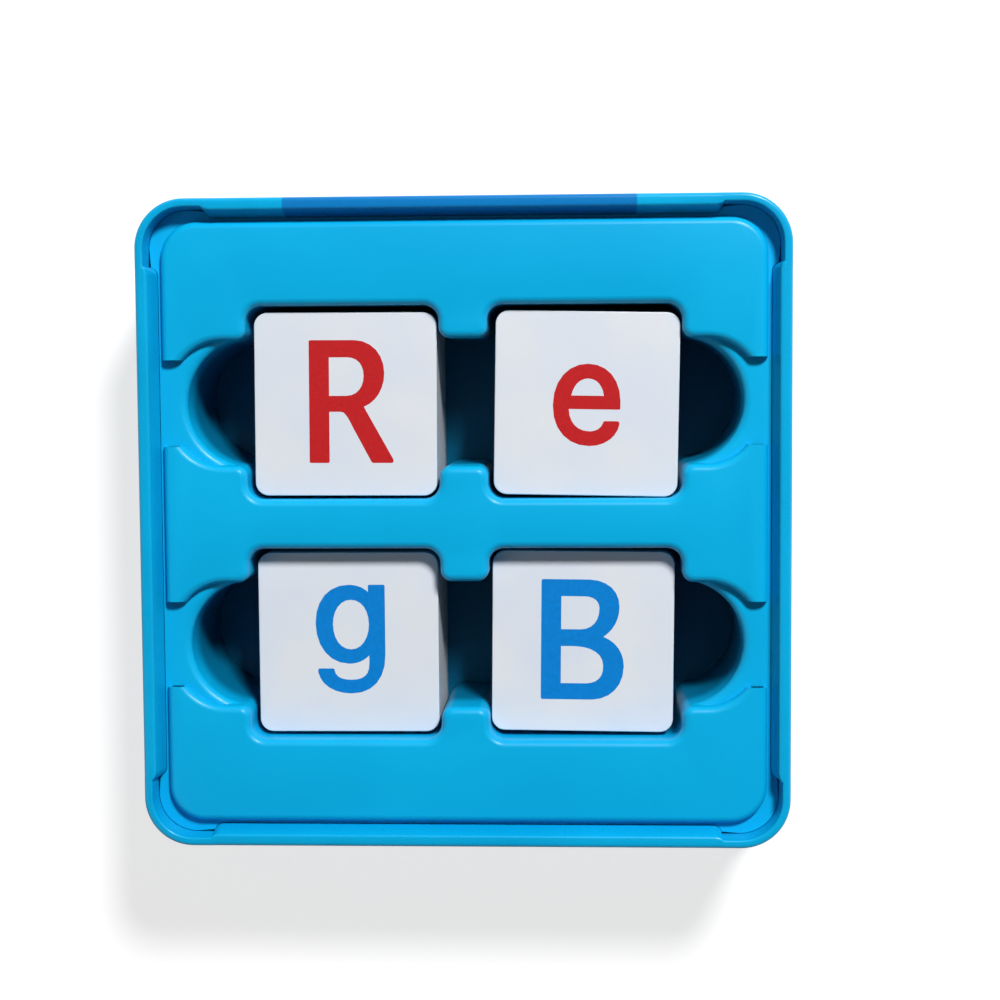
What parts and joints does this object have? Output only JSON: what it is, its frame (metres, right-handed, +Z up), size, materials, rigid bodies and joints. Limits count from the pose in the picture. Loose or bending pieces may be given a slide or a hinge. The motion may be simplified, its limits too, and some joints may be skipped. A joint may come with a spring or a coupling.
{
  "type": "travel word tile game case",
  "caption": "Square slip-lid tin with a formed plastic tray whose pockets, thumb wells and channels hold stacks of square letter tiles.",
  "frame": {"origin": "middle of the flat face of the upturned lid, on the table", "axes": "+Z up; +Y towards the back of the tin, which carries the dark blue panel; +X to the right"},
  "size_m": [0.1086, 0.1086, 0.0298],
  "materials": {
    "tinplate": "glossy cyan lacquer",
    "tray_plastic": "satin formed sheet",
    "tile_card": "matt coated card"
  },
  "bodies": {
    "lid": {"lid": "tinplate"},
    "tin_base": {"tin_base": "tinplate"},
    "tray": {"tray": "tray_plastic"},
    "rear_left_stack": {"rear_left_tile_01": "tile_card", "rear_left_tile_02": "tile_card", "rear_left_tile_03": "tile_card", "rear_left_tile_04": "tile_card", "rear_left_tile_05": "tile_card", "rear_left_tile_06": "tile_card", "rear_left_tile_07": "tile_card", "rear_left_tile_08": "tile_card", "rear_left_tile_09": "tile_card", "rear_left_tile_10": "tile_card", "rear_left_tile_11": "tile_card"},
    "rear_left_top_tile": {"rear_left_tile_12": "tile_card"},
    "rear_right_stack": {"rear_right_tile_01": "tile_card", "rear_right_tile_02": "tile_card", "rear_right_tile_03": "tile_card", "rear_right_tile_04": "tile_card", "rear_right_tile_05": "tile_card", "rear_right_tile_06": "tile_card", "rear_right_tile_07": "tile_card", "rear_right_tile_08": "tile_card", "rear_right_tile_09": "tile_card", "rear_right_tile_10": "tile_card", "rear_right_tile_11": "tile_card"},
    "rear_right_top_tile": {"rear_right_tile_12": "tile_card"},
    "front_left_stack": {"front_left_tile_01": "tile_card", "front_left_tile_02": "tile_card", "front_left_tile_03": "tile_card", "front_left_tile_04": "tile_card", "front_left_tile_05": "tile_card", "front_left_tile_06": "tile_card", "front_left_tile_07": "tile_card", "front_left_tile_08": "tile_card", "front_left_tile_09": "tile_card", "front_left_tile_10": "tile_card"},
    "front_left_top_tile": {"front_left_tile_11": "tile_card"},
    "front_right_stack": {"front_right_tile_01": "tile_card", "front_right_tile_02": "tile_card", "front_right_tile_03": "tile_card", "front_right_tile_04": "tile_card", "front_right_tile_05": "tile_card", "front_right_tile_06": "tile_card", "front_right_tile_07": "tile_card", "front_right_tile_08": "tile_card", "front_right_tile_09": "tile_card", "front_right_tile_10": "tile_card"},
    "front_right_top_tile": {"front_right_tile_11": "tile_card"}
  },
  "joints": [
    {"name": "base_lift", "type": "slide", "parent": "lid", "child": "tin_base", "axis": [0, 0, 1], "range_m": [0, 0.02]},
    {"name": "tray_lift", "type": "slide", "parent": "tin_base", "child": "tray", "axis": [0, 0, 1], "range_m": [0, 0.032]},
    {"name": "rear_left_stack_lift", "type": "slide", "parent": "tray", "child": "rear_left_stack", "axis": [0, 0, 1], "range_m": [0, 0.03]},
    {"name": "rear_left_top_tile_lift", "type": "slide", "parent": "rear_left_stack", "child": "rear_left_top_tile", "axis": [0, 0, 1], "range_m": [0, 0.03]},
    {"name": "rear_right_stack_lift", "type": "slide", "parent": "tray", "child": "rear_right_stack", "axis": [0, 0, 1], "range_m": [0, 0.03]},
    {"name": "rear_right_top_tile_lift", "type": "slide", "parent": "rear_right_stack", "child": "rear_right_top_tile", "axis": [0, 0, 1], "range_m": [0, 0.03]},
    {"name": "front_left_stack_lift", "type": "slide", "parent": "tray", "child": "front_left_stack", "axis": [0, 0, 1], "range_m": [0, 0.03]},
    {"name": "front_left_top_tile_lift", "type": "slide", "parent": "front_left_stack", "child": "front_left_top_tile", "axis": [0, 0, 1], "range_m": [0, 0.03]},
    {"name": "front_right_stack_lift", "type": "slide", "parent": "tray", "child": "front_right_stack", "axis": [0, 0, 1], "range_m": [0, 0.03]},
    {"name": "front_right_top_tile_lift", "type": "slide", "parent": "front_right_stack", "child": "front_right_top_tile", "axis": [0, 0, 1], "range_m": [0, 0.03]}
  ]
}
